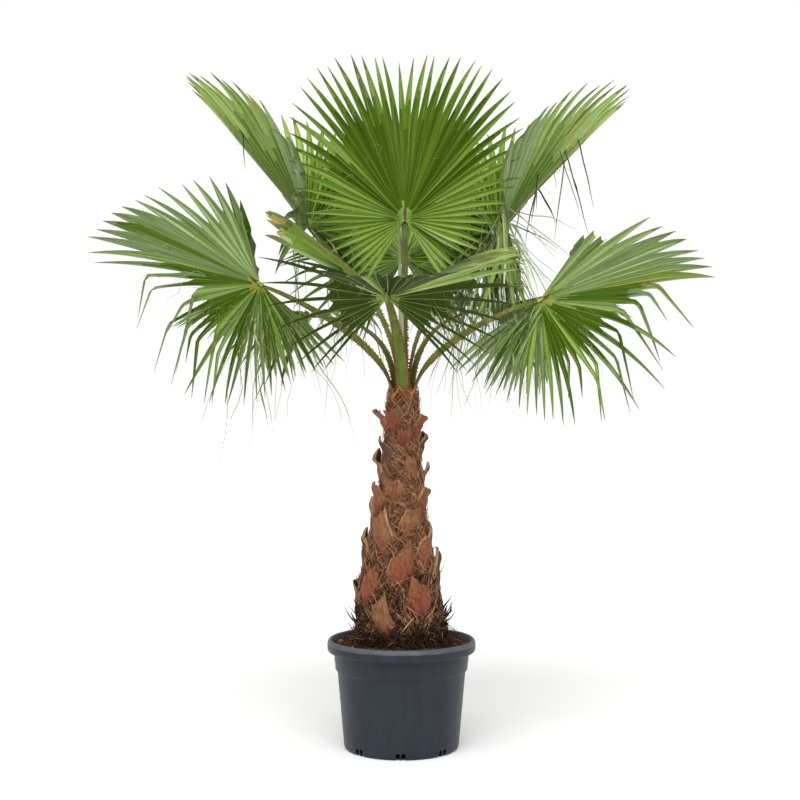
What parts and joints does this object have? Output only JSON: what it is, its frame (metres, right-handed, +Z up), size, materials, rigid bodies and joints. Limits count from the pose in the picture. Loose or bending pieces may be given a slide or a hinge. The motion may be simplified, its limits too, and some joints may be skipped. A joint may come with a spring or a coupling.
{
  "type": "potted fan palm",
  "caption": "Mexican fan palm with a boot-clad tapering trunk and a crown of pleated fan fronds, growing in a round nursery pot.",
  "frame": {"origin": "centre of the pot's flat underside, on the surface that the pot stands on", "axes": "+Z up along the pot's axis, -Y towards the palm's front, +X to the right seen from the front"},
  "size_m": [2.0668, 1.7061, 2.3797],
  "materials": {
    "pot_plastic": "injection-moulded polypropylene, satin, dark blue-grey",
    "potting_soil": "dark bark compost with dry chips and fibres",
    "palm_bark": "dry red-brown leaf bases with pale frayed edges and woven fibre between them",
    "petiole_green": "smooth green stalk with red-brown toothed margins",
    "leaf_green": "waxy pleated leaf, semi-gloss",
    "spear_pale": "unopened leaf with pale woolly down"
  },
  "bodies": {
    "root": {"pot": "pot_plastic", "soil": "potting_soil", "trunk": "palm_bark", "spear": "spear_pale", "petiole_top": "petiole_green", "petiole_upper_left": "petiole_green", "petiole_upper_right": "petiole_green", "petiole_left": "petiole_green", "petiole_right": "petiole_green", "petiole_front": "petiole_green", "petiole_back_left": "petiole_green", "petiole_back_right": "petiole_green", "petiole_back": "petiole_green", "fan_top": "leaf_green", "fan_upper_left": "leaf_green", "fan_upper_right": "leaf_green", "fan_left": "leaf_green", "fan_right": "leaf_green", "fan_front": "leaf_green", "fan_back_left": "leaf_green", "fan_back_right": "leaf_green", "fan_back": "leaf_green"}
  },
  "joints": []
}
